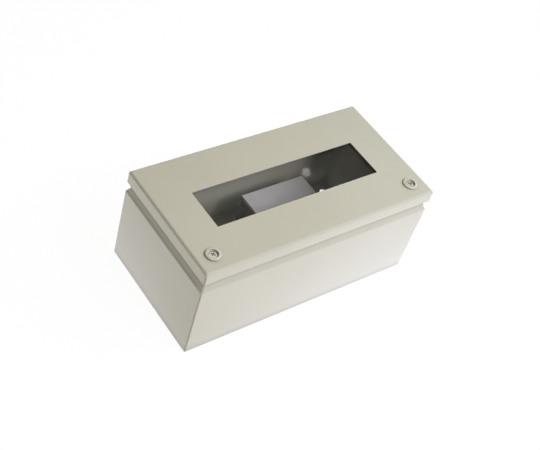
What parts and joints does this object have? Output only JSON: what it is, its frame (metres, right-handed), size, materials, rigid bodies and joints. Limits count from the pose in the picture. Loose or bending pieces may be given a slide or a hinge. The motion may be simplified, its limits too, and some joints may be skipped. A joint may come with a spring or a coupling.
{
  "type": "ac disconnect box",
  "caption": "Folded steel wall box with a hinged window lid held by two captive screws, housing a rail-mounted rotary switch-disconnector and earth terminals.",
  "frame": {"origin": "centre of the rear mounting face", "axes": "+Z out through the lid, +X along the long side, +Y towards the lid's hinges"},
  "size_m": [0.3, 0.1568, 0.1271],
  "materials": {
    "powder_coat": "fine-textured semi-gloss powder coat, warm light grey",
    "zinc_steel": "bright zinc plating",
    "stainless": "machined stainless steel",
    "cream_plastic": "satin cream plastic",
    "nylon": "natural nylon",
    "rubber": "closed-cell foam rubber",
    "glazing": "clear polished pane",
    "black_moulding": "fine-textured black thermoset",
    "light_grey_moulding": "satin lilac-grey thermoplastic",
    "copper": "tinned and bare copper",
    "brass": "turned brass",
    "black_handle": "satin black thermoplastic"
  },
  "bodies": {
    "enclosure": {"body_shell": "powder_coat", "din_rail": "zinc_steel", "earth_bar": "brass", "earth_bar_screw_1": "zinc_steel", "earth_bar_screw_2": "zinc_steel", "earth_bar_support": "zinc_steel", "earth_nut": "brass", "earth_stud": "brass", "hinge_body_leaf_left": "powder_coat", "hinge_body_leaf_right": "powder_coat", "hinge_pin_left": "zinc_steel", "hinge_pin_right": "zinc_steel", "line_shroud": "light_grey_moulding", "line_terminal_1": "copper", "line_terminal_2": "copper", "line_terminal_3": "copper", "line_terminal_screw_1": "zinc_steel", "line_terminal_screw_2": "zinc_steel", "line_terminal_screw_3": "zinc_steel", "load_terminal_1": "copper", "load_terminal_2": "copper", "load_terminal_3": "copper", "load_terminal_screw_1": "zinc_steel", "load_terminal_screw_2": "zinc_steel", "load_terminal_screw_3": "zinc_steel", "rail_screw_left": "zinc_steel", "rail_screw_right": "zinc_steel", "rail_standoff_left": "zinc_steel", "rail_standoff_right": "zinc_steel", "rivet_nut_left": "zinc_steel", "rivet_nut_right": "zinc_steel", "screw_plate_left": "powder_coat", "screw_plate_right": "powder_coat", "switch_base": "black_moulding", "switch_cover": "light_grey_moulding"},
    "lid": {"lid_shell": "powder_coat", "lid_gasket": "rubber", "window_gasket": "rubber", "window_pane": "glazing", "glazing_frame": "zinc_steel", "frame_nut_1": "zinc_steel", "frame_nut_2": "zinc_steel", "frame_nut_3": "zinc_steel", "frame_nut_4": "zinc_steel", "hinge_lid_leaf_left": "powder_coat", "hinge_lid_leaf_right": "powder_coat", "screw_cup_left": "cream_plastic", "screw_cup_right": "cream_plastic"},
    "retainer_left": {"screw_retainer_left": "nylon"},
    "screw_left": {"lid_screw_left": "stainless"},
    "retainer_right": {"screw_retainer_right": "nylon"},
    "screw_right": {"lid_screw_right": "stainless"},
    "handle": {"switch_handle": "black_handle", "crank_shaft": "stainless"},
    "carriage": {"contact_carriage": "nylon", "moving_blade_1": "copper", "moving_blade_2": "copper", "moving_blade_3": "copper"},
    "rail_clip": {"rail_clip": "black_moulding"}
  },
  "joints": [
    {"name": "lid_hinge", "type": "hinge", "parent": "enclosure", "child": "lid", "pos_m": [0, 0.0786, 0.108], "axis": [-1, 0, 0], "range_deg": [0, 110]},
    {"name": "lid_screw_left_travel", "type": "slide", "parent": "lid", "child": "retainer_left", "axis": [0, 0, 1], "range_m": [0, 0.005]},
    {"name": "lid_screw_left_turn", "type": "hinge", "parent": "retainer_left", "child": "screw_left", "pos_m": [-0.13, -0.055, 0.118], "axis": [0, 0, 1], "range_deg": [0, 2250]},
    {"name": "lid_screw_right_travel", "type": "slide", "parent": "lid", "child": "retainer_right", "axis": [0, 0, 1], "range_m": [0, 0.005]},
    {"name": "lid_screw_right_turn", "type": "hinge", "parent": "retainer_right", "child": "screw_right", "pos_m": [0.13, -0.055, 0.118], "axis": [0, 0, 1], "range_deg": [0, 2250]},
    {"name": "handle_turn", "type": "hinge", "parent": "enclosure", "child": "handle", "pos_m": [0.0295, -0.016, 0.063], "axis": [0, 0, -1], "range_deg": [0, 90]},
    {"name": "carriage_slide", "type": "slide", "parent": "enclosure", "child": "carriage", "axis": [1, 0, 0], "range_m": [0, 0.009]},
    {"name": "rail_clip_slide", "type": "slide", "parent": "enclosure", "child": "rail_clip", "axis": [0, -1, 0], "range_m": [0, 0.004]}
  ],
  "couplings": [
    {"joint": "lid_screw_left_turn", "follows": "lid_screw_left_travel", "rad_per_m": 7853.9},
    {"joint": "lid_screw_right_turn", "follows": "lid_screw_right_travel", "rad_per_m": 7853.9},
    {"joint": "carriage_slide", "follows": "handle_turn", "m_per_rad": 0.0057295}
  ]
}
